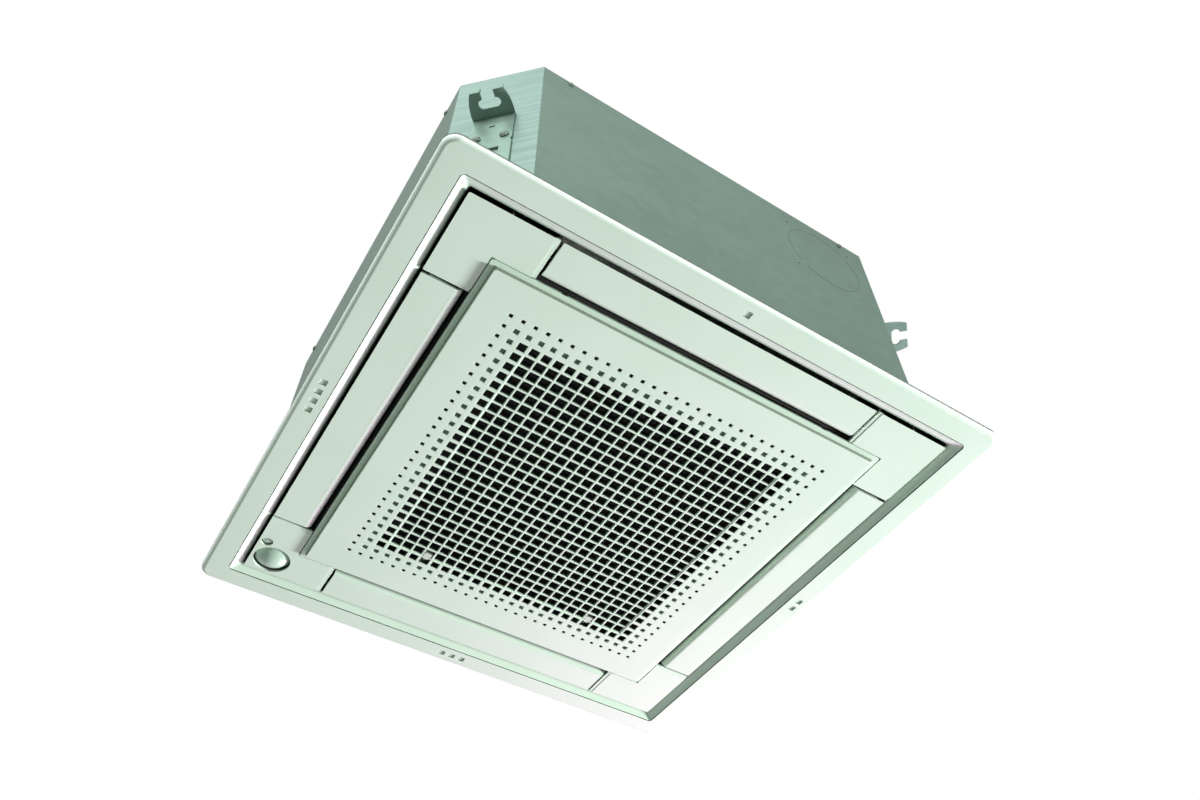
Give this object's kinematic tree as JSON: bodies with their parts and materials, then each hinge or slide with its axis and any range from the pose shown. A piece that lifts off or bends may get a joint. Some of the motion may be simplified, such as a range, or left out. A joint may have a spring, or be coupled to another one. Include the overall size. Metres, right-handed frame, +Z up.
{
  "type": "ceiling cassette air conditioner",
  "caption": "Square ceiling cassette air conditioner: a flat panel with air flaps round a hinged perforated suction grille, under a boxy unit with hanger hooks.",
  "frame": {"origin": "centre of the suction grille's face, the lowest plane of the object", "axes": "+Z up into the ceiling; +X from the side with four marks on its border towards the side with two, through the refrigerant pipes; +Y from the grille's hinge towards its latches"},
  "size_m": [0.62, 0.62, 0.308],
  "materials": {
    "plastic_white": "fine satin moulded plastic",
    "plastic_grey": "satin moulded plastic",
    "plastic_dark": "dark matt plastic",
    "filter_plastic": "dark matt plastic",
    "fan_plastic": "glass-filled plastic",
    "zinc_sheet": "galvanised sheet with a grey-green lacquer",
    "zinc_bright": "bright galvanised sheet",
    "steel": "plated steel",
    "motor_can": "moulded stator with metal covers",
    "aluminium_fins": "plain aluminium fins",
    "copper": "copper tube",
    "brass": "turned brass",
    "foam_white": "polystyrene foam",
    "foam_black": "closed-cell foam",
    "rubber_black": "soft rubber",
    "board_green": "circuit board",
    "lens": "glossy milky plastic",
    "pump_blue": "moulded plastic"
  },
  "bodies": {
    "unit": {"heat_exchanger": "aluminium_fins", "casing_shell": "zinc_sheet", "top_plate": "zinc_sheet", "foam_liner": "foam_white", "hanger_bracket_1": "zinc_bright", "hanger_bracket_2": "zinc_bright", "hanger_bracket_3": "zinc_bright", "hanger_bracket_4": "zinc_bright", "casing_screws": "steel", "coil_end_plates": "zinc_bright", "coil_bends": "copper", "gas_pipe": "copper", "liquid_pipe": "copper", "flare_unions": "brass", "pipe_cover": "zinc_bright", "drain_pan": "foam_white", "drain_pipe": "plastic_grey", "drain_pump": "plastic_grey", "float_stem": "plastic_grey", "bell_mouth": "plastic_grey", "fan_motor": "motor_can", "motor_feet": "rubber_black", "control_box": "zinc_bright", "control_lid": "zinc_bright", "control_board": "board_green", "air_thermistor": "plastic_dark", "panel_frame": "plastic_white", "panel_seal": "foam_black", "corner_cover_12": "plastic_white", "corner_cover_23": "plastic_white", "corner_cover_34": "plastic_white", "corner_cover_41": "plastic_white", "flap_motor_1": "steel", "flap_motor_2": "steel", "flap_motor_3": "steel", "flap_motor_4": "steel", "flap_bushes": "plastic_grey", "sensor_dome": "lens", "sensor_housing": "plastic_dark", "floor_lens": "lens", "panel_screws": "steel"},
    "fan": {"turbo_fan": "fan_plastic", "motor_shaft": "steel", "fan_nut": "steel"},
    "pump_rotor": {"pump_impeller": "pump_blue"},
    "float": {"float_ring": "foam_white"},
    "flap_1": {"flap_1": "plastic_white", "flap_shaft_1": "steel"},
    "flap_2": {"flap_2": "plastic_white", "flap_shaft_2": "steel"},
    "flap_3": {"flap_3": "plastic_white", "flap_shaft_3": "steel"},
    "flap_4": {"flap_4": "plastic_white", "flap_shaft_4": "steel"},
    "grille": {"suction_grille": "plastic_white", "hinge_pins": "steel", "filter_frame": "filter_plastic", "filter_net": "filter_plastic"},
    "latch_left": {"latch_left": "plastic_grey"},
    "latch_right": {"latch_right": "plastic_grey"}
  },
  "joints": [
    {"name": "fan_spin", "type": "hinge", "parent": "unit", "child": "fan", "pos_m": [0, 0, 0.2], "axis": [0, 0, 1], "continuous": true},
    {"name": "flap_1_swing", "type": "hinge", "parent": "unit", "child": "flap_1", "pos_m": [0, -0.237, 0.0135], "axis": [1, 0, 0], "range_deg": [0, 65]},
    {"name": "flap_2_swing", "type": "hinge", "parent": "unit", "child": "flap_2", "pos_m": [0.237, 0, 0.0135], "axis": [0, 1, 0], "range_deg": [0, 65]},
    {"name": "flap_3_swing", "type": "hinge", "parent": "unit", "child": "flap_3", "pos_m": [0, 0.237, 0.0135], "axis": [-1, 0, 0], "range_deg": [0, 65]},
    {"name": "flap_4_swing", "type": "hinge", "parent": "unit", "child": "flap_4", "pos_m": [-0.237, 0, 0.0135], "axis": [0, -1, 0], "range_deg": [0, 65]},
    {"name": "grille_swing", "type": "hinge", "parent": "unit", "child": "grille", "pos_m": [0, -0.2215, 0.0064], "axis": [-1, 0, 0], "range_deg": [0, 90]},
    {"name": "latch_left_slide", "type": "slide", "parent": "grille", "child": "latch_left", "axis": [0, -1, 0], "range_m": [0, 0.005], "stiffness_N_per_m": 300, "springref_m": -0.002},
    {"name": "latch_right_slide", "type": "slide", "parent": "grille", "child": "latch_right", "axis": [0, -1, 0], "range_m": [0, 0.005], "stiffness_N_per_m": 300, "springref_m": -0.002},
    {"name": "pump_spin", "type": "hinge", "parent": "unit", "child": "pump_rotor", "pos_m": [0.214, 0.214, 0.1], "axis": [0, 0, 1], "continuous": true},
    {"name": "float_lift", "type": "slide", "parent": "unit", "child": "float", "axis": [0, 0, 1], "range_m": [0, 0.0075]}
  ]
}
